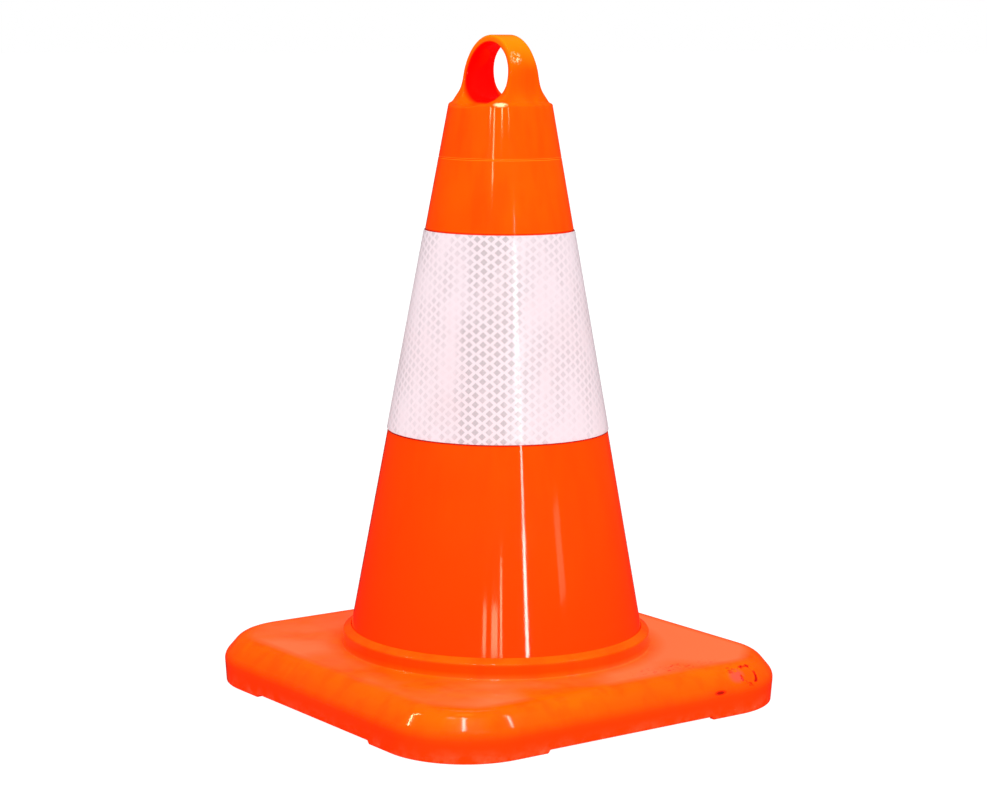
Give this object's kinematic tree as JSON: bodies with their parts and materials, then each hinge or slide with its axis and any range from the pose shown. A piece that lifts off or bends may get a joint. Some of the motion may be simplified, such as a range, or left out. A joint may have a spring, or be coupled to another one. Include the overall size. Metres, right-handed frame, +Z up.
{
  "type": "traffic cone",
  "caption": "Orange road cone with a white reflective sleeve, a carrying eye on top and a square bevelled base on corner feet.",
  "frame": {"origin": "on the ground, on the cone's axis, at the middle of the square base", "axes": "+Z up along the cone's axis; X and Y along the sides of the base; the carrying eye's opening runs along X"},
  "size_m": [0.34, 0.34, 0.5],
  "materials": {
    "orange_plastic": "glossy moulded plastic, coloured right through",
    "reflective_film": "white prismatic sheeting with a diamond lattice"
  },
  "bodies": {
    "cone": {"base": "orange_plastic", "cone_shell": "orange_plastic", "eye_cap": "orange_plastic"},
    "sleeve": {"reflective_sleeve": "reflective_film"}
  },
  "joints": [
    {"name": "sleeve_lift", "type": "slide", "parent": "cone", "child": "sleeve", "axis": [0, 0, 1], "range_m": [0, 0.31]}
  ]
}
